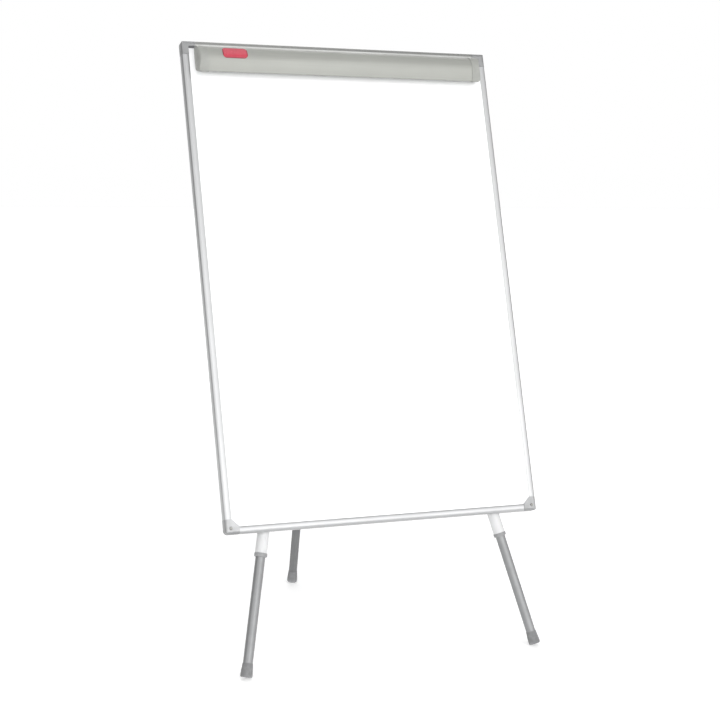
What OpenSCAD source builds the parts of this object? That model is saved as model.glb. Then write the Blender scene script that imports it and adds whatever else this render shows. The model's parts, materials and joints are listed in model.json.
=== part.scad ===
// Tripod flipchart easel: a framed white board with a hinged paper clamp, on three telescopic legs.
// The front looks towards -Y. The origin is on the floor, in the middle of the footprint.

/* [Board] */
// Width over the frame
board_w = 700; // [660:10:760]
// Height over the frame
board_h = 1030; // [1000:10:1080]
// Backward lean of the board, in degrees
tilt = 18; // [15:0.2:20]
// Height of the lower front edge above the floor
lift = 284; // [260:1:340]

/* [Frame] */
// Depth of the frame profile
frame_d = 18; // [17:0.5:19]
// Width of the front lip at the sides and the bottom
lip_w = 15; // [14:0.5:17]
// Width of the front lip at the top, above the clamp
top_lip_w = 12; // [11:0.5:12.5]
// Wall of the profile
frame_t = 1.6; // [1.4:0.1:1.8]
// Side of the square corner pieces
corner_w = 30; // [28:1:36]
// Rounding of the outer corner
corner_r = 8; // [4:1:12]

/* [Clamp] */
// Distance from the clamp's end to the frame's outer side
clamp_inset = 26; // [22:1:40]
// Length of each end cap
cap_len = 22; // [16:1:28]
// Width of the badge
badge_w = 54; // [40:1:60]
// Height of the badge
badge_h = 25; // [18:1:26]

/* [Paper hooks] */
// Distance between the two hooks
hook_gap = 450; // [360:10:520]
// Length of each hook's round pin
pin_len = 11; // [8:0.5:12]

/* [Legs] */
// Outward lean of each front leg in the board's plane, in degrees
splay = 12.7; // [11:0.1:14]
// Angle between the open rear leg and the board, in degrees
rear_open = 29.7; // [28:0.1:33]
// Distance from a pivot to the outer tube's lower end
outer_len = 1046; // [1000:1:1060]
// Length of an inner tube
inner_len = 960; // [900:10:980]
// Diameter of the outer tubes
outer_tube_d = 25; // [24.6:0.1:25.2]

/* [Hidden] */
$fn = 48;

// Board pack: sheet, core and sheet held between the lips
pack_t = frame_d - 2 * frame_t;
sheet_t = 0.5;
pack_inset = 6;
pack_w = board_w - 2 * pack_inset;
pack_h = board_h - 2 * pack_inset;
back_lip_w = 12;
back_y = frame_d - frame_t;
crown_x = 8;
lip_drop = 0.9;
corner_proud = 0.8;
tongue_len = 20;

// Hinge rail and clamp, in (forward, height from the board's top edge)
inner_half_w = board_w / 2 - lip_w;
clamp_half = board_w / 2 - clamp_inset;
bar_half = clamp_half - 9;
rail_half = clamp_half - cap_len - 4;
rail_ends_h = 4.5;
slot_top = -39;
slot_bottom = -51;
rail_face = 1.8;
hinge_a = 11;
hinge_h = -25;
knuckle_r = 5;
rod_r = 2.5;
station_w = 14;
lug_w = 12.8;
stations = [rail_half - 16, 95];
run = 0.05;
gap = 0.1;
bar_t = 1.8;
cap_grow = 1;
cap_back = 0.6;
spring_x = 50;
spring_r = 5.2;
wire_r = 0.8;
coils = 6;

// Paper hooks
foot_h = 9.8;
foot_t = 1.6;
foot_len = 24;
slot_h = -45;
pin_r = 3;
collar_t = 1.6;
collar_a = rail_face + gap;

// Legs: the front pivots stand side by side with the rear one between them
leg_y = 34;
pivot_x = 40;
front_u = board_h - 50;
rear_u = board_h - 40;
outer_r = outer_tube_d / 2;
bore_r = 11.3;
inner_r = 10;
inner_bore = 9;
tube_top = 13;
bush_len = 30;
flange_r = 13.4;
flange_t = 7.5;
foot_r = 12.3;
foot_tall = 28;
foot_floor = 4;
foot_edge = 2;

// Pivots
bolt_r = 4;
plate_t = 2;
plate_y = back_y + plate_t;
head_r = 12.4;
neck_r = 12.1;
front_half = 11;
rear_half = 12.9;
ear_x = 13;
ear_t = 2;
ear_r = 11.5;
washer_t = 1.2;
nut_r = 7.5;
nut_t = 7;
plate_top = rear_u + 22;
plate_bottom = front_u - 45;

// Where each leg's foot meets the floor, for a fillet that rolls on it
front_incline = acos(cos(splay) * cos(tilt));
rear_incline = rear_open - tilt;
function pivot_z(u) = lift - leg_y * sin(tilt) + u * cos(tilt);
function pivot_y(u) = leg_y * cos(tilt) + u * sin(tilt);
function leg_length(u, incline) =
    foot_edge + (pivot_z(u) - (foot_r - foot_edge) * sin(incline) - foot_edge) / cos(incline);
front_len = leg_length(front_u, front_incline);
rear_len = leg_length(rear_u, rear_incline);
front_dir_y = cos(splay) * sin(tilt);
front_reach = pivot_y(front_u) - (front_len - foot_edge) * front_dir_y
    - (foot_r - foot_edge) * sqrt(1 - front_dir_y * front_dir_y) - foot_edge;
rear_reach = pivot_y(rear_u) + (rear_len - foot_edge) * sin(rear_incline)
    + (foot_r - foot_edge) * cos(rear_incline) + foot_edge;
board_y = -(front_reach + rear_reach) / 2;

// Screws: [x, height up the board]
corner_spots = [for (sx = [-1, 1]) [sx * (board_w / 2 - 12), 12]];
rail_spots = [for (x = [-240, -145, 0, 145, 240]) [x, board_h - 34.5]];
plate_spots = [
    for (sx = [-1, 1]) each [[sx * 68, front_u - 35], [sx * 68, front_u + 22], [sx * 20, front_u - 35]]
];
clip_w = front_u / cos(splay) - 92;
clip_screw_x = 23;
clip_screw_w = 8;

// ---- Places ----

// The board's own frame: x across, y back from the frame's front face, z up the board
module on_board() {
    translate([0, board_y, lift]) rotate([-tilt, 0, 0]) children();
}

// A front leg's frame: the origin on the pivot, -z down the leg
module on_front_leg(side) {
    on_board() translate([side * pivot_x, leg_y, front_u]) rotate([0, -side * splay, 0]) children();
}

// The rear leg's frame, built the same way
module on_rear_leg() {
    on_board() translate([0, leg_y, rear_u]) rotate([rear_open, 0, 0]) children();
}

// A section in (forward, height from the board's top edge), drawn out along x
module along_x(x0, x1) {
    translate([x0, 0, board_h]) mirror([0, 1, 0]) rotate([90, 0, 90]) linear_extrude(x1 - x0) children();
}

// ---- Shapes ----

function arc(c, r, a0, a1, n) =
    [for (i = [0 : n]) c + r * [cos(a0 + (a1 - a0) * i / n), sin(a0 + (a1 - a0) * i / n)]];
function curve(p0, p1, p2, n) =
    [for (i = [0 : n]) let (t = i / n) (1 - t) * (1 - t) * p0 + 2 * t * (1 - t) * p1 + t * t * p2];
function reversed(list) = [for (i = [len(list) - 1 : -1 : 0]) list[i]];

module rounded_plate(w, h, r) {
    polygon(concat(
        arc([w / 2 - r, h / 2 - r], r, 0, 90, 8),
        arc([r - w / 2, h / 2 - r], r, 90, 180, 8),
        arc([r - w / 2, r - h / 2], r, 180, 270, 8),
        arc([w / 2 - r, r - h / 2], r, 270, 360, 8)
    ));
}

// A disc with a hole, on the x axis, from x0 to x1
module ring_on_x(x0, x1, r, hole) {
    translate([x0, 0, 0]) rotate([0, 90, 0]) difference() {
        cylinder(h = x1 - x0, r = r);
        translate([0, 0, -1]) cylinder(h = x1 - x0 + 2, r = hole);
    }
}

// A pan-head screw that enters along +z, with its head's seat at the origin
module pan_screw(r, length, cap_r, cap_t) {
    difference() {
        union() {
            cylinder(h = length, r = r);
            translate([0, 0, -cap_t]) cylinder(h = cap_t, r1 = cap_r * 0.75, r2 = cap_r);
        }
        for (turn = [0, 90]) rotate([0, 0, turn]) {
            translate([-cap_r * 0.5, -cap_t * 0.2, -cap_t - 1]) cube([cap_r, cap_t * 0.4, cap_t * 0.6 + 1]);
        }
    }
}

// ---- Board ----

module front_hole(spot, r) {
    translate([spot[0], -5, spot[1]]) rotate([-90, 0, 0]) cylinder(h = frame_d, r = r);
}

module rear_hole(spot, r, depth) {
    translate([spot[0], back_y + 5, spot[1]]) rotate([90, 0, 0]) cylinder(h = depth + 5, r = r);
}

module pack_layer(y0, t) {
    translate([-pack_w / 2, y0, pack_inset]) cube([pack_w, t, pack_h]);
}

module core_panel() {
    color("burlywood") on_board() difference() {
        pack_layer(frame_t + sheet_t, pack_t - 2 * sheet_t);
        for (spot = corner_spots) front_hole(spot, 1.7);
        for (spot = rail_spots) front_hole(spot, 1.5);
        for (spot = plate_spots) rear_hole(spot, 2, 11);
        clip_holes();
    }
}

module writing_sheet() {
    color("white") on_board() difference() {
        pack_layer(frame_t, sheet_t);
        for (spot = corner_spots) front_hole(spot, 1.7);
        for (spot = rail_spots) front_hole(spot, 1.5);
    }
}

module back_sheet() {
    color("gainsboro") on_board() difference() {
        pack_layer(back_y - sheet_t, sheet_t);
        for (spot = plate_spots) rear_hole(spot, 2, 11);
        clip_holes();
    }
}

// Channel section: x inward from the outer edge, y back from the crown of the domed front
module channel(lip) {
    edge = 1.5;
    polygon(concat(
        [[lip, frame_t], [crown_x - 3, frame_t], [frame_t, crown_x - 3], [frame_t, back_y]],
        [[back_lip_w, back_y], [back_lip_w, frame_d]],
        arc([edge, frame_d - edge], edge, 90, 180, 6),
        curve([0, crown_x], [0, 0], [crown_x, 0], 10),
        curve([crown_x, 0], [lip - 2, 0], [lip, lip_drop], 4)
    ));
}

module frame_side() {
    color("lightgray") translate([-board_w / 2, 0, corner_w]) {
        linear_extrude(board_h - 2 * corner_w) channel(lip_w);
    }
}

module frame_end(lip) {
    color("lightgray") translate([board_w / 2 - corner_w, 0, 0]) rotate([0, -90, 0]) {
        linear_extrude(board_w - 2 * corner_w) channel(lip);
    }
}

module frame_left() {
    on_board() frame_side();
}

module frame_right() {
    on_board() mirror([1, 0, 0]) frame_side();
}

module frame_bottom() {
    on_board() frame_end(lip_w);
}

module frame_top() {
    on_board() translate([0, 0, board_h]) mirror([0, 0, 1]) frame_end(top_lip_w);
}

// Section of a corner piece: the frame's dome, which rises a little proud of the frame
module corner_dome() {
    linear_extrude(corner_w) polygon(concat(
        curve([0, crown_x], [0, -corner_proud], [crown_x, -corner_proud], 10),
        [[corner_w + 1, -corner_proud], [corner_w + 1, frame_d], [0, frame_d]]
    ));
}

// A left corner piece, seen as a lower one, with tongues that plug into the frame. Its front
// reaches inward over end_lip, and inner_points shape its inner side.
module corner_piece(end_lip, inner_points) {
    tongue_t = pack_inset - frame_t - 0.3;
    tongue_y = crown_x - 2.6;
    color("gray") translate([-board_w / 2, 0, 0]) difference() {
        union() {
            intersection() {
                translate([0, frame_d, 0]) rotate([90, 0, 0]) linear_extrude(frame_d + corner_proud) {
                    polygon(concat(
                        arc([corner_r, corner_r], corner_r, 180, 270, 10),
                        [[corner_w, 0], [corner_w, end_lip]],
                        inner_points,
                        [[lip_w, corner_w], [0, corner_w]]
                    ));
                }
                corner_dome();
                translate([corner_w, 0, 0]) rotate([0, -90, 0]) corner_dome();
            }
            translate([corner_w - 2, tongue_y, frame_t + 0.1]) {
                cube([tongue_len, back_y - 0.2 - tongue_y, tongue_t]);
            }
            translate([frame_t + 0.1, tongue_y, corner_w - 2]) {
                cube([tongue_t, back_y - 0.2 - tongue_y, tongue_len]);
            }
        }
        translate([pack_inset, frame_t, pack_inset]) cube([2 * corner_w, pack_t, 2 * corner_w]);
    }
}

module bottom_corner() {
    difference() {
        corner_piece(lip_w, []);
        front_hole(corner_spots[0], 1.7);
    }
}

module top_corner() {
    inner_r = 2;
    translate([0, 0, board_h]) mirror([0, 0, 1]) {
        corner_piece(top_lip_w, arc([lip_w + inner_r, top_lip_w + inner_r], inner_r, 270, 180, 5));
    }
}

module corner_bottom_left() {
    on_board() bottom_corner();
}

module corner_bottom_right() {
    on_board() mirror([1, 0, 0]) bottom_corner();
}

module corner_top_left() {
    on_board() top_corner();
}

module corner_top_right() {
    on_board() mirror([1, 0, 0]) top_corner();
}

module corner_screws() {
    color("silver") on_board() for (spot = corner_spots) {
        translate([spot[0], -corner_proud, spot[1]]) rotate([-90, 0, 0]) pan_screw(1.7, 12, 3.4, 1.8);
    }
}

// ---- Clamp ----

// Outer line of the clamp from its top edge over the front to its lower edge, grown by g
function front_line(g) = concat(
    curve([8, -16 + g], [24 + g, -18.5 + g], [28.8 + g, -38], 14),
    curve([28.8 + g, -38], [31.4 + g, -50], [22.5 + g, -71.5], 12),
    curve([22.5 + g, -71.5], [22.2 + g, -74.2 - g], [19.8, -73.8 - g], 5)
);
function bar_line(g) = concat(
    front_line(g),
    curve([5.5, -66.6 - g], [3 - g, -65.4 - g], [3 - g, -64], 4),
    [[3 - g, -57]]
);
cap_line = concat(
    arc([hinge_a, hinge_h], hinge_a - cap_back, 180, 112, 6),
    front_line(cap_grow),
    curve([7, -68.8], [cap_back, -66], [cap_back, -60], 5)
);

module hinge_round(r) {
    translate([hinge_a, hinge_h]) circle(r);
}

module clamp_rail() {
    color("dimgray") on_board() difference() {
        union() {
            along_x(-inner_half_w, inner_half_w) {
                translate([-frame_t, -top_lip_w - rail_ends_h]) square([frame_t, rail_ends_h]);
            }
            along_x(-rail_half, rail_half) {
                translate([-frame_t, slot_top]) square([frame_t, -top_lip_w - slot_top]);
                difference() {
                    translate([-frame_t, slot_bottom]) {
                        square([frame_t + rail_face, slot_top - slot_bottom]);
                    }
                    translate([-0.8, slot_h - 5]) square([1.8, 10]);
                    translate([0.9, slot_h - 3]) square([1, 6]);
                }
            }
        }
        for (spot = rail_spots) front_hole(spot, 1.5);
    }
}

// Hinge blocks that stand on the rail and hold the rod
module clamp_hinge_blocks() {
    color("gray") on_board() for (sx = [-1, 1], x = stations) {
        along_x(sx * x - station_w / 2, sx * x + station_w / 2) difference() {
            union() {
                hinge_round(knuckle_r);
                polygon([
                    [0, -38], [hinge_a, hinge_h - knuckle_r], [hinge_a, hinge_h], [6.4, -26.9], [0, -29.5]
                ]);
            }
            hinge_round(rod_r);
        }
    }
}

module clamp_rail_screws() {
    color("silver") on_board() for (spot = rail_spots) {
        translate([spot[0], 0, spot[1]]) rotate([-90, 0, 0]) pan_screw(1.5, 11, 3, 1.6);
    }
}

module clamp_rod() {
    color("silver") on_board() along_x(1 - rail_half, rail_half - 1) hinge_round(rod_r);
}

module clamp_bar() {
    color("darkgray") on_board() {
        along_x(-bar_half, bar_half) polygon(concat(bar_line(0), reversed(bar_line(-bar_t))));
        for (sx = [-1, 1], x = stations) {
            // each lug stands on the inner side of its rail knuckle
            middle = sx * (x - station_w / 2 - 0.2 - lug_w / 2);
            along_x(middle - lug_w / 2, middle + lug_w / 2) difference() {
                union() {
                    hinge_round(knuckle_r);
                    polygon([[8, hinge_h], [16, hinge_h], [16, -19.6], [8, -16.9]]);
                }
                hinge_round(rod_r + run);
            }
        }
    }
}

// An end cap for the right end: a sleeve over the bar, closed by a block with rounded corners
module clamp_cap() {
    low = -73.8 - cap_grow;
    front = 29.6 + cap_grow;
    color("gray") {
        along_x(clamp_half - cap_len, bar_half) difference() {
            polygon(cap_line);
            polygon(bar_line(0));
        }
        intersection() {
            along_x(bar_half, clamp_half) polygon(cap_line);
            translate([0, 5, board_h]) rotate([90, 0, 0]) linear_extrude(50) polygon(concat(
                [[0, 0], [clamp_half - 3, 0], [clamp_half, -19], [clamp_half, low + 14]],
                curve([clamp_half, low + 14], [clamp_half, low], [bar_half, low - 0.1], 8),
                [[0, low - 0.1]]
            ));
            translate([0, 0, board_h - 90]) linear_extrude(85) polygon(concat(
                [[0, 5], [clamp_half, 5]],
                curve([clamp_half, -10], [clamp_half, -front], [bar_half, -front - 0.1], 8),
                [[0, -front - 0.1]]
            ));
        }
    }
}

module clamp_cap_right() {
    on_board() clamp_cap();
}

module clamp_cap_left() {
    on_board() mirror([1, 0, 0]) clamp_cap();
}

// Rubber strip with ribs that press the paper on the board
module clamp_grip_strip() {
    ribs = 4;
    pitch = 8 / ribs;
    nose = gap - frame_t;
    color("darkslategray") on_board() along_x(-rail_half, rail_half) polygon(concat(
        [[3, -65], [3, -57]],
        [for (i = [0 : ribs - 1]) each [
            [nose + 0.5, -57 - i * pitch],
            [nose, -57 - (i + 0.3) * pitch],
            [nose, -57 - (i + 0.7) * pitch],
            [nose + 0.5, -57 - (i + 1) * pitch]
        ]]
    ));
}

// Blank badge that follows the clamp's curved front: a raised field inside a low rim
badge_x = -244;
badge_mid_h = -34.4;

module badge_layer(g, w, h) {
    on_board() intersection() {
        along_x(badge_x - w, badge_x + w) polygon(concat(front_line(g), reversed(front_line(0))));
        translate([badge_x, -15, board_h + badge_mid_h]) rotate([90, 0, 0]) {
            linear_extrude(30) rounded_plate(w, h, h * 0.35);
        }
    }
}

module clamp_badge() {
    color("crimson") {
        badge_layer(0.8, badge_w, badge_h);
        badge_layer(1.4, badge_w - 4, badge_h - 4);
    }
}

// Round wire swept along a path that lies close to planes across x
function wire_ring(path, i, sides) = let (
    before = path[max(i - 1, 0)],
    after = path[min(i + 1, len(path) - 1)],
    t = (after - before) / norm(after - before),
    n0 = cross(t, [1, 0, 0]),
    n = n0 / norm(n0),
    b = cross(t, n)
) [for (k = [0 : sides - 1]) path[i] + wire_r * (n * cos(360 * k / sides) + b * sin(360 * k / sides))];

module wire(path, sides) {
    last = len(path) - 1;
    polyhedron(
        [for (i = [0 : last]) each wire_ring(path, i, sides)],
        concat(
            [[for (k = [0 : sides - 1]) k]],
            [for (i = [0 : last - 1], k = [0 : sides - 1]) [
                i * sides + k, (i + 1) * sides + k,
                (i + 1) * sides + (k + 1) % sides, i * sides + (k + 1) % sides
            ]],
            [[for (k = [sides - 1 : -1 : 0]) last * sides + k]]
        )
    );
}

// A closing spring: one arm bears on the rail, the other behind the bar's lower flange
function spring_path() = let (
    c = [0, -hinge_a, board_h + hinge_h],
    pitch = 2 * wire_r + 0.15,
    steps = 16,
    turns = coils + 0.5
) concat(
    [c + [0, hinge_a - wire_r - 0.15, -12.6], c + [0, hinge_a - 3.5, -9]],
    [for (i = [0 : steps * turns]) let (a = 360 * i / steps)
        c + [pitch * i / steps, spring_r * cos(a), spring_r * sin(a)]],
    [c + [pitch * turns, -spring_r + 1, -14], c + [pitch * turns, hinge_a - 4.8 - wire_r - 0.1, -34.5]]
);

module clamp_springs() {
    color("silver") on_board() for (side = [0, 1]) mirror([side, 0, 0]) {
        translate([spring_x, 0, 0]) wire(spring_path(), 8);
    }
}

// A sliding hook: a foot in the rail's slot, a thumb collar and a round pin
module paper_hook(x) {
    color("dimgray") on_board() {
        along_x(x - foot_len / 2, x + foot_len / 2) {
            translate([-0.7, slot_h - foot_h / 2]) square([foot_t, foot_h]);
            translate([0.8, slot_h - 2.9]) square([collar_a - 0.7, 5.8]);
        }
        translate([x, -collar_a, board_h + slot_h]) rotate([90, 0, 0]) {
            cylinder(h = collar_t, r = 7);
            cylinder(h = collar_t + pin_len, r = pin_r);
            translate([0, 0, collar_t + pin_len]) sphere(r = pin_r);
        }
    }
}

module paper_hook_left() {
    paper_hook(-hook_gap / 2);
}

module paper_hook_right() {
    paper_hook(hook_gap / 2);
}

// ---- Head bracket and pivots ----

module head_bracket() {
    mid_u = (plate_top + plate_bottom) / 2;
    ear_root = plate_y - leg_y - 0.1;
    color("slategray") on_board() difference() {
        union() {
            translate([0, plate_y, mid_u]) rotate([90, 0, 0]) linear_extrude(plate_t) {
                rounded_plate(156, plate_top - plate_bottom, 6);
            }
            translate([-60, plate_y - 0.1, plate_top - 2]) cube([120, 6, 2]);
            for (sx = [-1, 1]) {
                translate([sx * pivot_x, plate_y - 0.1, front_u]) rotate([-90, 0, 0]) {
                    cylinder(h = leg_y - front_half - gap - plate_y + 0.1, r = 9);
                }
                translate([sx * (ear_x + ear_t / 2), leg_y, rear_u]) rotate([90, 0, 90]) {
                    linear_extrude(ear_t, center = true) {
                        circle(ear_r);
                        polygon([[ear_root, -16], [4, -10.78], [4, 10.78], [ear_root, 14]]);
                    }
                }
            }
        }
        for (sx = [-1, 1]) translate([sx * pivot_x, back_y - 1, front_u]) rotate([-90, 0, 0]) {
            cylinder(h = 20, r = bolt_r);
            cylinder(h = 2, r = 6);
        }
        translate([-30, leg_y, rear_u]) rotate([0, 90, 0]) cylinder(h = 60, r = bolt_r);
        for (spot = plate_spots) rear_hole(spot, 2, 11);
    }
}

module head_screws() {
    color("silver") on_board() for (spot = plate_spots) {
        translate([spot[0], plate_y, spot[1]]) rotate([90, 0, 0]) pan_screw(2, 12.5, 4.2, 2.4);
    }
}

stack_y = leg_y + front_half + gap;

// Clinched stud: a flat head flush in the bracket's plate and a long plain shank
module front_stud(side) {
    color("silver") on_board() translate([side * pivot_x, back_y, front_u]) rotate([-90, 0, 0]) {
        cylinder(h = 1, r = 6);
        cylinder(h = stack_y - back_y + washer_t + nut_t + 3, r = bolt_r);
    }
}

module pivot_bolt_left() {
    front_stud(-1);
}

module pivot_bolt_right() {
    front_stud(1);
}

module at_rear_pivot() {
    on_board() translate([0, leg_y, rear_u]) children();
}

ear_face = ear_x + ear_t;

module pivot_bolt_rear() {
    color("silver") at_rear_pivot() rotate([0, 90, 0]) {
        translate([0, 0, -ear_face - washer_t]) {
            cylinder(h = 2 * (ear_face + washer_t) + nut_t + 3, r = bolt_r);
        }
        translate([0, 0, -ear_face - washer_t - 5.3]) cylinder(h = 5.3, r = nut_r, $fn = 6);
    }
}

module pivot_washers() {
    color("silver") {
        for (sx = [-1, 1]) on_board() translate([sx * pivot_x, stack_y, front_u]) rotate([0, 0, 90]) {
            ring_on_x(0, washer_t, 8, bolt_r);
        }
        at_rear_pivot() {
            ring_on_x(ear_face, ear_face + washer_t, 8, bolt_r);
            ring_on_x(-ear_face - washer_t, -ear_face, 8, bolt_r);
        }
    }
}

// A hexagon nut on the x axis with the round collar of its locking ring
module lock_nut() {
    rotate([0, 90, 0]) difference() {
        union() {
            cylinder(h = nut_t - 1.5, r = nut_r, $fn = 6);
            cylinder(h = nut_t, r = 5.6);
        }
        translate([0, 0, -1]) cylinder(h = nut_t + 2, r = bolt_r);
    }
}

module pivot_nuts() {
    color("silver") {
        for (sx = [-1, 1]) on_board() translate([sx * pivot_x, stack_y + washer_t, front_u]) {
            rotate([0, 0, 90]) lock_nut();
        }
        at_rear_pivot() translate([ear_face + washer_t, 0, 0]) lock_nut();
    }
}

// ---- Leg clips ----

module clip_screw_places() {
    for (side = [-1, 1], dw = [-clip_screw_w, clip_screw_w]) on_front_leg(side) {
        translate([side * clip_screw_x, 0, dw - clip_w]) children();
    }
}

// Pilot holes for the clip screws, in the board's frame
module clip_holes() {
    for (side = [-1, 1], dw = [-clip_screw_w, clip_screw_w]) {
        translate([side * pivot_x, leg_y, front_u]) rotate([0, -side * splay, 0]) {
            translate([side * clip_screw_x, 0, dw - clip_w]) rotate([90, 0, 0]) cylinder(h = 29, r = 1.7);
        }
    }
}

// A hook that the leg swings into from the middle of the board
module leg_clip(side) {
    clip_in = outer_r + 0.4;
    clip_out = clip_in + 3;
    plate_in = back_y - leg_y;
    color("gray") on_front_leg(side) translate([0, 0, -clip_w - 14]) difference() {
        linear_extrude(28) difference() {
            union() {
                intersection() {
                    circle(clip_out);
                    translate([side > 0 ? 0 : -20, -20]) square([20, 40]);
                }
                translate([side > 0 ? -12 : -30, plate_in]) square([42, 2.4]);
                translate([side > 0 ? 0 : -10, plate_in]) square([10, 4]);
            }
            circle(clip_in);
            translate([side > 0 ? -20 : 0, plate_in + 2.4]) square([20, 40]);
        }
        for (dw = [14 - clip_screw_w, 14 + clip_screw_w]) translate([side * clip_screw_x, 0, dw]) {
            rotate([90, 0, 0]) cylinder(h = 30, r = 1.7);
        }
    }
}

module leg_clip_left() {
    leg_clip(-1);
}

module leg_clip_right() {
    leg_clip(1);
}

module leg_clip_screws() {
    color("silver") clip_screw_places() translate([0, back_y + 2.4 - leg_y, 0]) {
        rotate([90, 0, 0]) pan_screw(1.7, 13, 3.4, 2);
    }
}

// ---- Legs, each in its own frame with -z down the leg ----

module outer_tube() {
    color("whitesmoke") translate([0, 0, -outer_len]) difference() {
        cylinder(h = outer_len - tube_top, r = outer_r);
        translate([0, 0, -1]) cylinder(h = outer_len, r = bore_r);
    }
}

// Solid part of a knuckle: an eye on the y axis, a neck, a collar and a plug
module knuckle_solid(half) {
    rotate([90, 0, 0]) cylinder(h = 2 * half, r = head_r, center = true);
    translate([0, 0, -tube_top]) intersection() {
        cylinder(h = tube_top, r = neck_r);
        translate([-20, -half, -1]) cube([40, 2 * half, 20]);
    }
    translate([0, 0, -tube_top]) cylinder(h = 3, r = outer_r);
    translate([0, 0, -tube_top - 32]) cylinder(h = 32.1, r = bore_r);
}

module front_knuckle(side) {
    color("dimgray") on_front_leg(side) difference() {
        knuckle_solid(front_half);
        rotate([90, 0, 0]) cylinder(h = 60, r = bolt_r + run, center = true);
    }
}

module left_knuckle() {
    front_knuckle(-1);
}

module right_knuckle() {
    front_knuckle(1);
}

// The rear knuckle also has a heel that rests on the bracket's plate when the leg is open
module rear_knuckle() {
    heel_y = leg_y - plate_y - gap;
    heel_half = rear_half - 1.5;
    color("dimgray") difference() {
        union() {
            on_rear_leg() rotate([0, 0, 90]) knuckle_solid(rear_half);
            at_rear_pivot() translate([-heel_half, -heel_y, -1]) cube([2 * heel_half, heel_y, 11]);
        }
        at_rear_pivot() rotate([0, 90, 0]) cylinder(h = 60, r = bolt_r + run, center = true);
    }
}

module end_bush() {
    color("gray") translate([0, 0, -outer_len]) difference() {
        union() {
            cylinder(h = bush_len, r = bore_r);
            translate([0, 0, 1 - flange_t]) cylinder(h = flange_t - 1, r = flange_r);
            translate([0, 0, -flange_t]) cylinder(h = 1, r1 = flange_r - 1, r2 = flange_r);
        }
        translate([0, 0, -flange_t - 1]) cylinder(h = bush_len + flange_t + 2, r = inner_r + run);
    }
}

module inner_tube(leg_len) {
    color("darkgray") translate([0, 0, foot_floor - leg_len]) difference() {
        cylinder(h = inner_len, r = inner_r);
        translate([0, 0, -1]) cylinder(h = inner_len + 2, r = inner_bore);
    }
}

// Flared rubber ferrule over the inner tube's lower end
module foot(leg_len) {
    color("dimgray") translate([0, 0, -leg_len]) rotate_extrude() polygon(concat(
        [[0, 0]],
        arc([foot_r - foot_edge, foot_edge], foot_edge, 270, 360, 6),
        curve([foot_r, 7], [foot_r - 0.4, 15], [foot_r - 1.4, foot_tall - 4], 6),
        [[inner_r + 0.6, foot_tall]],
        [[inner_r, foot_tall], [inner_r, foot_floor], [0, foot_floor]]
    ));
}

// Twist lock at the top of an inner tube, in a frame with its origin on the tube's end and +z up the leg
cone_small = 10.3;
cone_big = 26.3;
cone_r0 = 4.5;
cone_r1 = 8;
cone_slope = (cone_r1 - cone_r0) / (cone_big - cone_small);
slit_w = 1.4;

module at_lock(leg_len) {
    translate([0, 0, foot_floor - leg_len + inner_len]) children();
}

module lock_spindle(leg_len) {
    color("silver") at_lock(leg_len) {
        translate([0, 0, -28]) cylinder(h = 28, r = inner_bore);
        cylinder(h = 2, r = inner_r);
        cylinder(h = 32, r = pin_r);
        translate([0, 0, 32]) cylinder(h = 3, r = 5.5);
    }
}

// Slit sleeve that the cone spreads against the outer tube
module lock_sleeve(leg_len) {
    color("ivory") at_lock(leg_len) difference() {
        translate([0, 0, 2.3]) cylinder(h = cone_big - 2.3, r = bore_r - gap);
        cylinder(h = cone_big, r = pin_r + run);
        translate([0, 0, cone_small]) cylinder(h = cone_big - cone_small, r1 = cone_r0, r2 = cone_r1);
        translate([0, 0, cone_big]) cylinder(h = 1, r = cone_r1);
        for (turn = [0, 90]) rotate([0, 0, turn]) {
            translate([-15, -slit_w / 2, cone_small + 2]) cube([30, slit_w, 20]);
        }
    }
}

module lock_cone(leg_len) {
    play = 0.06;
    low = cone_small + 3;
    high = cone_big + 2;
    color("orange") at_lock(leg_len) difference() {
        union() {
            translate([0, 0, low]) cylinder(
                h = high - low,
                r1 = cone_r0 + cone_slope * (low - cone_small) - play,
                r2 = cone_r0 + cone_slope * (high - cone_small) - play
            );
            translate([-10.3, -0.6, cone_big - 8]) cube([20.6, 1.2, 8]);
        }
        translate([0, 0, low - 1]) cylinder(h = high - low + 2, r = pin_r + run);
    }
}

module left_outer_tube() {
    on_front_leg(-1) outer_tube();
}

module right_outer_tube() {
    on_front_leg(1) outer_tube();
}

module rear_outer_tube() {
    on_rear_leg() outer_tube();
}

module left_end_bush() {
    on_front_leg(-1) end_bush();
}

module right_end_bush() {
    on_front_leg(1) end_bush();
}

module rear_end_bush() {
    on_rear_leg() end_bush();
}

module left_inner_tube() {
    on_front_leg(-1) inner_tube(front_len);
}

module right_inner_tube() {
    on_front_leg(1) inner_tube(front_len);
}

module rear_inner_tube() {
    on_rear_leg() inner_tube(rear_len);
}

module left_foot() {
    on_front_leg(-1) foot(front_len);
}

module right_foot() {
    on_front_leg(1) foot(front_len);
}

module rear_foot() {
    on_rear_leg() foot(rear_len);
}

module left_lock_spindle() {
    on_front_leg(-1) lock_spindle(front_len);
}

module right_lock_spindle() {
    on_front_leg(1) lock_spindle(front_len);
}

module rear_lock_spindle() {
    on_rear_leg() lock_spindle(rear_len);
}

module left_lock_sleeve() {
    on_front_leg(-1) lock_sleeve(front_len);
}

module right_lock_sleeve() {
    on_front_leg(1) lock_sleeve(front_len);
}

module rear_lock_sleeve() {
    on_rear_leg() lock_sleeve(rear_len);
}

module left_lock_cone() {
    on_front_leg(-1) lock_cone(front_len);
}

module right_lock_cone() {
    on_front_leg(1) lock_cone(front_len);
}

module rear_lock_cone() {
    on_rear_leg() lock_cone(rear_len);
}

// ---- The nodes ----

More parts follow.
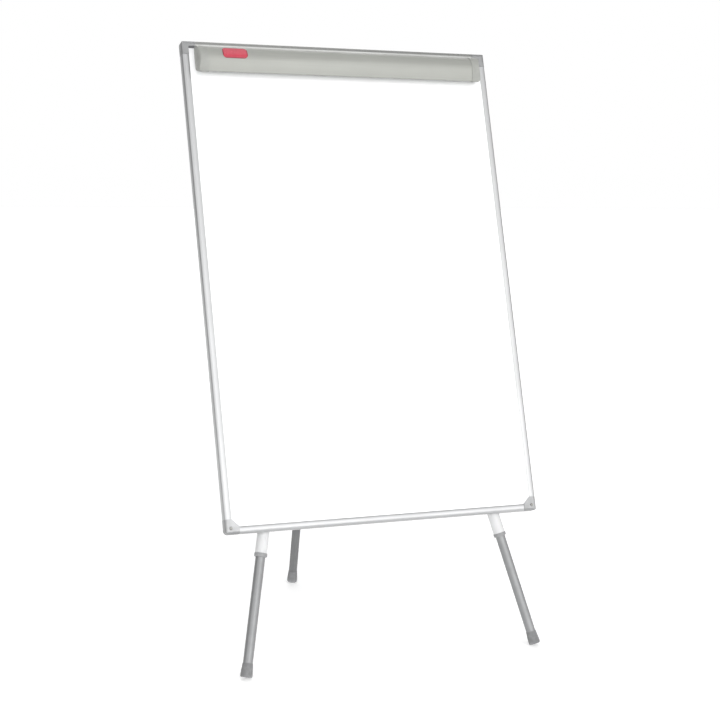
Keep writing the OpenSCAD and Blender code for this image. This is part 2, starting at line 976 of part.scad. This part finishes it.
core_panel();
writing_sheet();
back_sheet();
frame_left();
frame_right();
frame_top();
frame_bottom();
corner_bottom_left();
corner_bottom_right();
corner_top_left();
corner_top_right();
corner_screws();
clamp_rail();
clamp_hinge_blocks();
clamp_rail_screws();
clamp_rod();
clamp_bar();
clamp_cap_left();
clamp_cap_right();
clamp_grip_strip();
clamp_badge();
clamp_springs();
paper_hook_left();
paper_hook_right();
head_bracket();
head_screws();
pivot_bolt_left();
pivot_bolt_right();
pivot_bolt_rear();
pivot_washers();
pivot_nuts();
leg_clip_left();
leg_clip_right();
leg_clip_screws();
left_outer_tube();
right_outer_tube();
rear_outer_tube();
left_knuckle();
right_knuckle();
rear_knuckle();
left_end_bush();
right_end_bush();
rear_end_bush();
left_inner_tube();
right_inner_tube();
rear_inner_tube();
left_foot();
right_foot();
rear_foot();
left_lock_spindle();
right_lock_spindle();
rear_lock_spindle();
left_lock_sleeve();
right_lock_sleeve();
rear_lock_sleeve();
left_lock_cone();
right_lock_cone();
rear_lock_cone();
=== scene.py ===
import json
import math

import bmesh
import bpy
from mathutils import Matrix, Vector


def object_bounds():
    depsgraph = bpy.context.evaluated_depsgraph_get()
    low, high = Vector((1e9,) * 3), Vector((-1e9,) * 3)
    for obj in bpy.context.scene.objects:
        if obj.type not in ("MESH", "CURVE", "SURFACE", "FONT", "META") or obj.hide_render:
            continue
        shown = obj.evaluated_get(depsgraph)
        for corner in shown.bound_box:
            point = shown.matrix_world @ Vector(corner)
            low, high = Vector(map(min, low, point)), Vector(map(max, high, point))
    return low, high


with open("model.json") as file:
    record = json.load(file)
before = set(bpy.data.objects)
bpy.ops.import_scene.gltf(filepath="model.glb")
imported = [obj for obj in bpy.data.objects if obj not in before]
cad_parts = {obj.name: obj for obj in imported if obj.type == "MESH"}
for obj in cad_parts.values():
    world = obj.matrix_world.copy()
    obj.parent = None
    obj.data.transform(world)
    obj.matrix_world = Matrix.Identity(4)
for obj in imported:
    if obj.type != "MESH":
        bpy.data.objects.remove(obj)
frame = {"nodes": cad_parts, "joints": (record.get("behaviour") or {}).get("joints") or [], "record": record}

CAD_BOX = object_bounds()
NODES = frame["nodes"]
RECORD = frame["record"]
SLOT_OF = {part["node"]: part["material_slot"] for part in RECORD["subparts"]}
JOINTS = {joint["name"]: joint for joint in frame["joints"]}
LEGS = ("left", "right", "rear")
MM = 0.001

# ---- Directions of the board and the legs, from the record ----

WRITING_SURFACE = next(mount for mount in RECORD["mounts"] if mount["name"] == "writing_surface")
FORWARD = Vector(WRITING_SURFACE["axis"]).normalized()
ACROSS = Vector((1.0, 0.0, 0.0))
UP_BOARD = FORWARD.cross(ACROSS).normalized()


def leg_up(leg):
    """The direction of a leg's tubes, from its foot to its pivot."""
    return -Vector(JOINTS[f"{leg}_leg_slide"]["axis"]).normalized()


def reach(node, direction):
    """The lowest and the highest place of a CAD node along a direction."""
    along = [vertex.co.dot(direction) for vertex in NODES[node].data.vertices]
    return min(along), max(along)


def axes_turn(x_axis, z_axis):
    """The turn that measures a place along z_axis, along x_axis squared up to it, and along the third."""
    z = z_axis.normalized()
    x = (x_axis - x_axis.dot(z) * z).normalized()
    return Matrix((x, z.cross(x), z)).to_euler()


def towards(azimuth, elevation):
    """The direction to a place around the easel. Azimuth 0 is the front, and angles are in radians."""
    return Vector((
        math.sin(azimuth) * math.cos(elevation),
        -math.cos(azimuth) * math.cos(elevation),
        math.sin(elevation),
    ))


def link(obj):
    bpy.context.scene.collection.objects.link(obj)
    return obj


BOARD_TURN = axes_turn(ACROSS, UP_BOARD)
LEG_TURN = {leg: axes_turn(ACROSS, leg_up(leg)) for leg in LEGS}

# ---- Camera, fitted to the photo's outlines ----

VIEW_AZIMUTH = math.radians(-22.341)
VIEW_ELEVATION = math.radians(9.341)
VIEW_ROLL = math.radians(0.872)
VIEW_DISTANCE = 3.2356
VIEW_TARGET = Vector((0.0, -0.1341, 0.4871))
LENS = 75.905
SENSOR = 36.0
SHIFT_X = -0.0071
SHIFT_Y = 0.0767
NEAR_CLIP = 0.05
FAR_CLIP = 100.0


def make_camera():
    data = bpy.data.cameras.new("camera")
    data.lens = LENS
    data.sensor_width = SENSOR
    data.shift_x = SHIFT_X
    data.shift_y = SHIFT_Y
    data.clip_start = NEAR_CLIP
    data.clip_end = FAR_CLIP
    camera = link(bpy.data.objects.new("camera", data))
    back = towards(VIEW_AZIMUTH, VIEW_ELEVATION)
    level = (-back).to_track_quat("-Z", "Y").to_matrix()
    turned = level @ Matrix.Rotation(VIEW_ROLL, 3, "Z")
    camera.matrix_world = Matrix.Translation(VIEW_TARGET + back * VIEW_DISTANCE) @ turned.to_4x4()
    bpy.context.scene.camera = camera


# ---- Light ----

# Strength of the light from each side of the studio
FRONT_LIGHT = 2.1
SIDE_LIGHT = 0.2
BACK_LIGHT = 0.65
BACKDROP = 1.0

# Share of that light that is left towards the ceiling and the right-hand wall
CEILING = 0.15
RIGHT_WALL = 0.85

# Where each side begins and where it is complete, as a part of the direction's length along its axis
FRONT_EDGE = (-0.6, 0.2)
BACK_EDGE = (0.45, 0.95)
CEILING_EDGE = (0.42, 0.70)
RIGHT_EDGE = (0.25, 0.6)

# Azimuth, elevation and spread in degrees, and strength
SUNS = {
    "key": (8, 14, 40, 0.45),
    "top": (0, 84, 60, 0.8),
    "back": (165, 40, 50, 0.9),
}


def make_world():
    """A broad white light in front, darker walls at the sides and ceiling, and a pure white backdrop."""
    world = bpy.data.worlds.new("studio")
    world.use_nodes = True
    nodes, links = world.node_tree.nodes, world.node_tree.links
    place = nodes.new("ShaderNodeTexCoord")
    split = nodes.new("ShaderNodeSeparateXYZ")
    links.new(place.outputs["Generated"], split.inputs[0])

    def falloff(axis, edge, before, after):
        ramp = nodes.new("ShaderNodeMapRange")
        ramp.interpolation_type = "SMOOTHSTEP"
        for key, value in zip(("From Min", "From Max", "To Min", "To Max"), (*edge, before, after)):
            ramp.inputs[key].default_value = value
        links.new(split.outputs[axis], ramp.inputs["Value"])
        return ramp.outputs[0]

    def combine(operation, a, b):
        made = nodes.new("ShaderNodeMath")
        made.operation = operation
        links.new(a, made.inputs[0])
        links.new(b, made.inputs[1])
        return made.outputs[0]

    front = falloff("Y", FRONT_EDGE, FRONT_LIGHT, SIDE_LIGHT)
    back = falloff("Y", BACK_EDGE, 0.0, BACK_LIGHT - SIDE_LIGHT)
    height = falloff("Z", CEILING_EDGE, 1.0, CEILING)
    right = falloff("X", RIGHT_EDGE, 1.0, RIGHT_WALL)
    unseen = combine("MULTIPLY", combine("ADD", front, back), combine("MULTIPLY", height, right))
    seen = nodes.new("ShaderNodeLightPath").outputs["Is Camera Ray"]
    lit = nodes.new("ShaderNodeMix")
    links.new(seen, lit.inputs[0])
    links.new(unseen, lit.inputs[2])
    lit.inputs[3].default_value = BACKDROP
    background = nodes["Background"]
    links.new(lit.outputs[0], background.inputs["Strength"])
    background.inputs["Color"].default_value = (1.0, 1.0, 1.0, 1.0)
    bpy.context.scene.world = world
    bpy.context.scene.view_settings.view_transform = "Standard"


def soft_sun(name, azimuth, elevation, spread, power):
    data = bpy.data.lights.new(name, "SUN")
    data.energy = power
    data.angle = math.radians(spread)
    lamp = link(bpy.data.objects.new(name, data))
    direction = towards(math.radians(azimuth), math.radians(elevation))
    lamp.rotation_euler = direction.to_track_quat("Z", "Y").to_euler()


def make_light():
    make_world()
    for name, values in SUNS.items():
        soft_sun(name, *values)


# ---- Materials: shared tools ----


class Finish:
    """A procedural material, with short calls for the nodes that it needs."""

    def __init__(self, name, **constants):
        self.material = bpy.data.materials.new(name)
        self.material.use_nodes = True
        self.tree = self.material.node_tree
        self.shader = self.tree.nodes["Principled BSDF"]
        self.place = self.add("ShaderNodeTexCoord").outputs["Object"]
        for socket, value in constants.items():
            self.shader.inputs[socket.replace("_", " ")].default_value = value

    def add(self, kind, links=None, inputs=None, **settings):
        made = self.tree.nodes.new(kind)
        for key, value in settings.items():
            setattr(made, key, value)
        for key, value in (inputs or {}).items():
            made.inputs[key].default_value = value
        for key, source in (links or {}).items():
            self.tree.links.new(source, made.inputs[key])
        return made

    def turned(self, turn, stretch=(1.0, 1.0, 1.0), offset=(0.0, 0.0, 0.0)):
        """The place in a turned frame. A small stretch draws a pattern out along that axis."""
        plain = self.add("ShaderNodeMapping", {"Vector": self.place}, {"Rotation": turn})
        return self.add(
            "ShaderNodeMapping", {"Vector": plain.outputs[0]}, {"Scale": stretch, "Location": offset}
        ).outputs[0]

    def noise(self, where, scale, detail=3.0, roughness=0.5, distortion=0.0):
        return self.add(
            "ShaderNodeTexNoise",
            {"Vector": where},
            {"Scale": scale, "Detail": detail, "Roughness": roughness, "Distortion": distortion},
        ).outputs[0]

    def streaks(self, turn, stretch, detail, roughness, distortion=0.0, offset=(0.0, 0.0, 0.0)):
        """Noise with its own scale along each axis of the turned frame."""
        return self.noise(self.turned(turn, stretch, offset), 1.0, detail, roughness, distortion)

    def cells(self, where, scale):
        return self.add("ShaderNodeTexVoronoi", {"Vector": where}, {"Scale": scale}).outputs[0]

    def remap(self, value, source, target=(0.0, 1.0)):
        """Stretches the range source of a value to the range target, and stops at its ends."""
        ends = dict(zip(("From Min", "From Max", "To Min", "To Max"), (*source, *target)))
        return self.add("ShaderNodeMapRange", {"Value": value}, ends).outputs[0]

    def math(self, operation, a, b):
        links = {i: v for i, v in ((0, a), (1, b)) if not isinstance(v, float)}
        values = {i: v for i, v in ((0, a), (1, b)) if isinstance(v, float)}
        return self.add("ShaderNodeMath", links, values, operation=operation).outputs[0]

    def mix(self, factor, a, b):
        """Colour a where factor is 0 and b where it is 1. Each is a colour or a socket."""
        made = self.add("ShaderNodeMix", {0: factor}, data_type="RGBA")
        for socket, color in ((made.inputs[6], a), (made.inputs[7], b)):
            if isinstance(color, tuple):
                socket.default_value = (*color, 1.0)
            else:
                self.tree.links.new(color, socket)
        return made.outputs[2]

    def bump(self, height, strength, distance, under=None):
        links = {"Height": height}
        if under is not None:
            links["Normal"] = under
        return self.add(
            "ShaderNodeBump", links, {"Strength": strength, "Distance": distance}
        ).outputs[0]

    def done(self, **sockets):
        for socket, source in sockets.items():
            self.tree.links.new(source, self.shader.inputs[socket.replace("_", " ")])
        return self.material


def scaled(color, k):
    return tuple(min(1.0, c * k) for c in color)


def around(rough, below, above):
    """A range of roughness around the finish's own."""
    return rough - below, rough + above


# ---- Materials: one function for each kind of finish ----

# Scale of the patterns per metre along the part's x, y and z, a small one along the length of the marks
DIE_LINES_UP = (1700.0, 1700.0, 4.0)
DIE_LINES_ACROSS = (4.0, 1700.0, 1700.0)
SCRATCHES = (130.0, 130.0, 34.0)
WIPED_MARKER = (3.2, 3.2, 11.0)
TUBE_RUBS = (260.0, 260.0, 9.0)
DRAWN_LINES = (1500.0, 1500.0, 6.0)
SLIDE_RUBS = (210.0, 210.0, 5.0)
SLIDE_RUBS_OFFSET = (3.0, 1.0, 2.0)
TURNED_MARKS = (1800.0, 300.0, 1800.0)
ROLLED_LINES = (1100.0, 1.0, 4.0)
FIBRES = (240.0, 900.0, 900.0)


def extruded(name, color, turn, die_lines, rough=0.37, metallic=0.95):
    """Anodised aluminium profile: die lines along it, faint blotches and a few fine handling scratches."""
    f = Finish(name, Metallic=metallic)
    where = f.turned(turn)
    lines = f.streaks(turn, die_lines, detail=4.0, roughness=0.65)
    blotch = f.noise(where, scale=9.0, detail=4.0, roughness=0.55)
    grain = f.noise(where, scale=2600.0, detail=2.0, roughness=0.6)
    handling = f.streaks(turn, SCRATCHES, detail=5.0, roughness=0.75, distortion=1.2)
    scratch = f.remap(handling, (0.66, 0.74))
    tone = f.mix(f.remap(lines, (0.3, 0.7)), scaled(color, 0.91), scaled(color, 1.05))
    tone = f.mix(f.remap(blotch, (0.35, 0.75), (0.0, 0.5)), tone, scaled(color, 0.93))
    tone = f.mix(f.math("MULTIPLY", scratch, 0.35), tone, scaled(color, 1.18))
    shine = f.math(
        "ADD",
        f.remap(lines, (0.3, 0.7), around(rough, 0.05, 0.07)),
        f.remap(blotch, (0.3, 0.7), (-0.03, 0.05)),
    )
    normal = f.bump(lines, 0.10, 0.0003)
    normal = f.bump(grain, 0.06, 0.0001, normal)
    return f.done(Base_Color=tone, Roughness=shine, Normal=normal)


def enamel(name, color):
    """White enamelled steel: a glossy coat with slight waviness, and dull ghosts of wiped marker."""
    f = Finish(name, Specular_IOR_Level=0.5, Coat_Weight=0.35, Coat_Roughness=0.08)
    where = f.turned(BOARD_TURN)
    wiped = f.streaks(BOARD_TURN, WIPED_MARKER, detail=5.0, roughness=0.6, distortion=0.8)
    haze = f.noise(where, scale=2.4)
    peel = f.noise(where, scale=420.0, detail=2.0)
    specks = f.remap(f.cells(where, scale=160.0), (0.02, 0.05), (1.0, 0.0))
    tone = f.mix(f.remap(wiped, (0.45, 0.75), (0.0, 0.55)), color, scaled(color, 0.965))
    tone = f.mix(f.math("MULTIPLY", specks, 0.10), tone, scaled(color, 0.82))
    shine = f.math(
        "ADD",
        f.remap(wiped, (0.4, 0.75), (0.17, 0.30)),
        f.remap(haze, (0.3, 0.7), (0.0, 0.05)),
    )
    return f.done(Base_Color=tone, Roughness=shine, Normal=f.bump(peel, 0.035, 0.0002))


def powder_coat(name, color, turn, rough):
    """Powder-coated steel: orange peel, faint lengthwise rub marks, and grime in patches."""
    f = Finish(name, Specular_IOR_Level=0.5, Coat_Weight=0.15, Coat_Roughness=0.2)
    where = f.turned(turn)
    peel = f.noise(where, scale=900.0, detail=2.0, roughness=0.45)
    rub = f.streaks(turn, TUBE_RUBS, detail=4.0, roughness=0.7)
    grime = f.noise(where, scale=22.0, detail=5.0, roughness=0.6)
    tone = f.mix(f.remap(grime, (0.5, 0.8), (0.0, 0.45)), color, scaled(color, 0.86))
    tone = f.mix(f.remap(rub, (0.62, 0.72), (0.0, 0.35)), tone, scaled(color, 0.78))
    shine = f.math(
        "ADD",
        f.remap(grime, (0.3, 0.7), around(rough, 0.04, 0.06)),
        f.remap(rub, (0.5, 0.75), (0.0, 0.08)),
    )
    return f.done(Base_Color=tone, Roughness=shine, Normal=f.bump(peel, 0.12, 0.0003))


def drawn_tube(name, color, turn, rough=0.36):
    """Grey anodised tube that slides in another: fine drawn lines and brighter rubbed streaks."""
    f = Finish(name, Metallic=0.55)
    lines = f.streaks(turn, DRAWN_LINES, detail=4.0, roughness=0.6)
    rub = f.streaks(turn, SLIDE_RUBS, detail=5.0, roughness=0.75, offset=SLIDE_RUBS_OFFSET)
    blotch = f.noise(f.turned(turn), scale=26.0, detail=4.0, roughness=0.55)
    tone = f.mix(f.remap(lines, (0.3, 0.7)), scaled(color, 0.9), scaled(color, 1.08))
    tone = f.mix(f.remap(rub, (0.6, 0.74), (0.0, 0.5)), tone, scaled(color, 1.35))
    tone = f.mix(f.remap(blotch, (0.5, 0.8), (0.0, 0.4)), tone, scaled(color, 0.8))
    shine = f.math(
        "ADD",
        f.remap(lines, (0.3, 0.7), around(rough, 0.05, 0.06)),
        f.remap(blotch, (0.3, 0.8), (0.0, 0.1)),
    )
    return f.done(Base_Color=tone, Roughness=shine, Normal=f.bump(lines, 0.12, 0.0002))


def moulded(name, color, rough, metallic=0.0):
    """Moulded plastic: a fine spark-eroded grain, slight flow marks and rubbed, paler specks."""
    f = Finish(name, Specular_IOR_Level=0.45, Metallic=metallic)
    where = f.turned(BOARD_TURN)
    pits = f.cells(where, scale=1400.0)
    fine = f.noise(where, scale=2240.0, roughness=0.6)
    flow = f.noise(where, scale=34.0, detail=4.0, roughness=0.55, distortion=0.6)
    tone = f.mix(f.remap(flow, (0.35, 0.75)), scaled(color, 1.06), scaled(color, 0.88))
    tone = f.mix(f.remap(fine, (0.58, 0.75), (0.0, 0.4)), tone, scaled(color, 1.28))
    shine = f.math(
        "ADD",
        f.remap(flow, (0.3, 0.7), around(rough, 0.05, 0.07)),
        f.remap(fine, (0.4, 0.7), (0.0, 0.05)),
    )
    normal = f.bump(fine, 0.16, 0.0002)
    normal = f.bump(pits, 0.096, 0.0002, normal)
    return f.done(Base_Color=tone, Roughness=shine, Normal=normal)


SCUFF_HEIGHT = 12 * MM


def rubber(name, color):
    """Matt rubber with a fine grain, dust on it, and scuffs where it meets the floor."""
    f = Finish(name, Specular_IOR_Level=0.3, Sheen_Weight=0.1, Sheen_Roughness=0.6)
    where = f.turned(BOARD_TURN)
    grain = f.noise(where, scale=1700.0, roughness=0.7)
    dust = f.noise(where, scale=70.0, detail=6.0, roughness=0.65)
    height = f.add("ShaderNodeSeparateXYZ", {"Vector": f.place}).outputs["Z"]
    near_floor = f.remap(height, (0.0, SCUFF_HEIGHT), (1.0, 0.0))
    scuff = f.math("MULTIPLY", near_floor, f.remap(dust, (0.35, 0.6), (0.1, 0.8)))
    tone = f.mix(f.remap(dust, (0.45, 0.8), (0.0, 0.6)), color, scaled(color, 1.7))
    tone = f.mix(scuff, tone, scaled(color, 2.3))
    shine = f.remap(dust, (0.3, 0.7), (0.68, 0.86))
    return f.done(Base_Color=tone, Roughness=shine, Normal=f.bump(grain, 0.3, 0.0003))


def steel(name, color, rough=0.26):
    """Zinc-plated fastener steel: turned marks and a slightly blotchy, tinted plating."""
    f = Finish(name, Metallic=1.0)
    marks = f.streaks(BOARD_TURN, TURNED_MARKS, detail=3.0, roughness=0.6)
    blotch = f.noise(f.turned(BOARD_TURN), scale=210.0, detail=4.0, roughness=0.6)
    tinted = scaled((color[0], color[1] * 0.97, color[2] * 0.9), 0.8)
    tone = f.mix(f.remap(blotch, (0.35, 0.75)), color, tinted)
    shine = f.math(
        "ADD",
        f.remap(marks, (0.3, 0.7), around(rough, 0.06, 0.08)),
        f.remap(blotch, (0.3, 0.8), (0.0, 0.1)),
    )
    return f.done(Base_Color=tone, Roughness=shine, Normal=f.bump(marks, 0.15, 0.0001))


def back_skin(name, color):
    """Thin rolled aluminium skin on the board's back: rolling lines, soft dents and dull handling marks."""
    f = Finish(name, Metallic=0.8)
    where = f.turned(BOARD_TURN)
    lines = f.streaks(BOARD_TURN, ROLLED_LINES, detail=4.0, roughness=0.6)
    dents = f.noise(where, scale=13.0, roughness=0.45)
    marks = f.noise(where, scale=6.0, detail=6.0, roughness=0.65, distortion=1.5)
    tone = f.mix(f.remap(lines, (0.3, 0.7)), scaled(color, 0.93), scaled(color, 1.04))
    tone = f.mix(f.remap(marks, (0.5, 0.72), (0.0, 0.5)), tone, scaled(color, 0.84))
    shine = f.math(
        "ADD",
        f.remap(marks, (0.35, 0.7), (0.38, 0.52)),
        f.remap(lines, (0.3, 0.7), (-0.03, 0.03)),
    )
    normal = f.bump(dents, 0.25, 0.002)
    normal = f.bump(lines, 0.08, 0.0002, normal)
    return f.done(Base_Color=tone, Roughness=shine, Normal=normal)


def board_paper(name, color):
    """Brown honeycomb board, with its fibres."""
    f = Finish(name)
    fibres = f.streaks(BOARD_TURN, FIBRES, detail=5.0, roughness=0.7)
    cells = f.cells(f.turned(BOARD_TURN), scale=120.0)
    tone = f.mix(f.remap(fibres, (0.35, 0.7)), scaled(color, 0.8), scaled(color, 1.15))
    shine = f.remap(fibres, (0.3, 0.7), (0.75, 0.95))
    return f.done(Base_Color=tone, Roughness=shine, Normal=f.bump(cells, 0.3, 0.0006))


RIM_WIDTH = 2 * MM
RIM_BLUR = 0.3 * MM


def badge_plastic(name, color, rim_color):
    """Glossy badge: a coloured field and, around it, a darker rim."""
    f = Finish(name, Coat_Weight=0.25, Coat_Roughness=0.08)
    rims = []
    for axis in (ACROSS, UP_BOARD):
        low, high = reach("clamp_badge", axis)
        along = f.add(
            "ShaderNodeVectorMath", {0: f.place}, {1: tuple(axis)}, operation="DOT_PRODUCT"
        ).outputs["Value"]
        from_middle = f.math("ABSOLUTE", f.math("SUBTRACT", along, (low + high) / 2), 0.0)
        field_end = (high - low) / 2 - RIM_WIDTH
        rims.append(f.remap(from_middle, (field_end, field_end + RIM_BLUR)))
    where = f.turned(BOARD_TURN)
    flow = f.noise(where, scale=90.0)
    field = f.mix(f.remap(flow, (0.3, 0.7)), color, scaled(color, 0.86))
    tone = f.mix(f.math("MAXIMUM", *rims), field, rim_color)
    shine = f.remap(f.noise(where, scale=500.0, detail=2.0), (0.3, 0.7), (0.18, 0.28))
    return f.done(Base_Color=tone, Roughness=shine, Normal=f.bump(flow, 0.05, 0.0003))


# ---- Materials: which piece has which ----

SILVER = (0.478, 0.482, 0.486)
# Darker copy of SILVER for the top member: painted shade for the dimmer light that falls on it
TOP_SILVER_PAINTED_SHADE = (0.345, 0.348, 0.338)
# Near-black rail: painted shade for the dark gap beside the clamp's ends
RAIL_PAINTED_SHADE_GREY = (0.13, 0.13, 0.135)
CLAMP_GREY = (0.335, 0.34, 0.316)
CAP_GREY = (0.31, 0.315, 0.295)
ENAMEL_WHITE = (0.93, 0.935, 0.94)
BADGE_RED = (0.50, 0.055, 0.085)
BADGE_RIM_RED = (0.26, 0.02, 0.04)
OUTER_WHITE = (0.64, 0.643, 0.646)
INNER_GREY = (0.27, 0.273, 0.277)
# Darkening of the rear leg's inner tube: painted shade, because it stands behind the board
REAR_PAINTED_SHADE = 0.72


def make_finishes():
    made = {
        "frame_up": extruded("frame_up", SILVER, BOARD_TURN, DIE_LINES_UP),
        "frame_across": extruded("frame_across", SILVER, BOARD_TURN, DIE_LINES_ACROSS),
        # The top member's darker silver is painted shade
        "frame_top": extruded("frame_top", TOP_SILVER_PAINTED_SHADE, BOARD_TURN, DIE_LINES_ACROSS),
        # The rail's dark colour is painted shade
        "rail": extruded("rail", RAIL_PAINTED_SHADE_GREY, BOARD_TURN, DIE_LINES_ACROSS, rough=0.4),
        "clamp": extruded("clamp", CLAMP_GREY, BOARD_TURN, DIE_LINES_ACROSS, rough=0.46, metallic=0.3),
        "enamel": enamel("enamel", ENAMEL_WHITE),
        "core": board_paper("core", (0.42, 0.29, 0.17)),
        "back": back_skin("back", (0.58, 0.59, 0.60)),
        "corner": moulded("corner", (0.32, 0.323, 0.326), rough=0.34, metallic=0.7),
        "cap": moulded("cap", CAP_GREY, rough=0.46),
        "hook": moulded("hook", (0.03, 0.03, 0.033), rough=0.4),
        "clip": moulded("clip", (0.10, 0.105, 0.11), rough=0.5),
        "knuckle": moulded("knuckle", (0.07, 0.072, 0.076), rough=0.5),
        "bush": moulded("bush", (0.27, 0.272, 0.276), rough=0.45),
        "lock": moulded("lock", (0.72, 0.70, 0.62), rough=0.4),
        "badge": badge_plastic("badge", BADGE_RED, BADGE_RIM_RED),
        "grip": rubber("grip", (0.018, 0.018, 0.019)),
        "foot": rubber("foot", (0.19, 0.192, 0.195)),
        "screw": steel("screw", (0.28, 0.28, 0.272)),
        "rod": steel("rod", (0.50, 0.50, 0.50), rough=0.3),
        "bracket": powder_coat("bracket", (0.11, 0.113, 0.118), BOARD_TURN, rough=0.42),
    }
    for leg in LEGS:
        outer, inner = f"{leg}_outer", f"{leg}_inner"
        # The rear inner tube's darker grey is painted shade
        grey = scaled(INNER_GREY, REAR_PAINTED_SHADE if leg == "rear" else 1.0)
        made[outer] = powder_coat(outer, OUTER_WHITE, LEG_TURN[leg], rough=0.32)
        made[inner] = drawn_tube(inner, grey, LEG_TURN[leg])
    return made


FINISH_OF_SLOT = {
    "core": "core",
    "white_enamel": "enamel",
    "back_foil": "back",
    "corner_plastic": "corner",
    "screw_steel": "screw",
    "rail_aluminium": "rail",
    "rod_steel": "rod",
    "clamp_aluminium": "clamp",
    "cap_plastic": "cap",
    "grip_rubber": "grip",
    "badge_plastic": "badge",
    "hook_plastic": "hook",
    "bracket_steel": "bracket",
    "clip_plastic": "clip",
    "knuckle_plastic": "knuckle",
    "bush_plastic": "bush",
    "foot_rubber": "foot",
    "lock_plastic": "lock",
}


def finish_name(node):
    slot = SLOT_OF[node]
    if slot == "frame_aluminium":
        # The top member gets its own, darker frame finish: painted shade
        return {"frame_top": "frame_top", "frame_bottom": "frame_across"}.get(node, "frame_up")
    if slot == "tube_white":
        return node.split("_")[0] + "_outer"
    if slot == "tube_grey":
        return node.split("_")[0] + "_inner"
    return FINISH_OF_SLOT[slot]


def dress(obj, material):
    obj.data.materials.clear()
    obj.data.materials.append(material)
    for polygon in obj.data.polygons:
        polygon.material_index = 0


# ---- Softened edges ----

# Width in mm and segments, by the beginning of the node's name
SOFT_EDGES = {
    "corner": (1.4, 3),
    "clamp_cap": (0.8, 2),
    "frame": (0.25, 2),
    "leg_clip": (0.7, 2),
    "head_bracket": (0.5, 2),
    "paper_hook": (0.3, 2),
    "pivot_nuts": (0.3, 2),
    "clamp_hinge_blocks": (0.3, 2),
    **{f"{leg}_{piece}": (0.7, 2) for leg in LEGS for piece in ("knuckle", "end")},
}
WELD_GAP = 0.01 * MM
FLAT_ANGLE = math.radians(1)
SHARP_ANGLE = math.radians(40)


def soften(obj, width, segments):
    """Rounds the sharp edges of a CAD piece by width, in mm, so that they catch the light."""
    weld = obj.modifiers.new("weld", "WELD")
    weld.merge_threshold = WELD_GAP
    flat = obj.modifiers.new("flat", "DECIMATE")
    flat.decimate_type = "DISSOLVE"
    flat.angle_limit = FLAT_ANGLE
    bevel = obj.modifiers.new("bevel", "BEVEL")
    bevel.width = width * MM
    bevel.segments = segments
    bevel.limit_method = "ANGLE"
    bevel.angle_limit = SHARP_ANGLE
    normals = obj.modifiers.new("normals", "WEIGHTED_NORMAL")
    normals.keep_sharp = False


# ---- Floor ----

FLOOR_SIZE = 30.0
FLOOR_GLOW = 0.3
FLOOR_TONES = ((0.93, 0.93, 0.93), (0.96, 0.96, 0.96))


def make_floor():
    mesh = bpy.data.meshes.new("floor")
    shape = bmesh.new()
    bmesh.ops.create_grid(shape, x_segments=2, y_segments=2, size=FLOOR_SIZE)
    shape.to_mesh(mesh)
    shape.free()
    floor = link(bpy.data.objects.new("floor", mesh))
    floor.location.z = CAD_BOX[0].z
    f = Finish("floor_paint", Roughness=0.7, Specular_IOR_Level=0.2, Emission_Strength=FLOOR_GLOW)
    f.shader.inputs["Emission Color"].default_value = (1.0, 1.0, 1.0, 1.0)
    faint = f.noise(f.place, scale=3.0)
    dress(floor, f.done(Base_Color=f.mix(faint, *FLOOR_TONES)))


# ---- The scene ----

make_camera()
make_light()
make_floor()
FINISHES = make_finishes()
for node, obj in NODES.items():
    dress(obj, FINISHES[finish_name(node)])
    for start, (width, segments) in SOFT_EDGES.items():
        if node.startswith(start) and not node.endswith("screws"):
            soften(obj, width, segments)
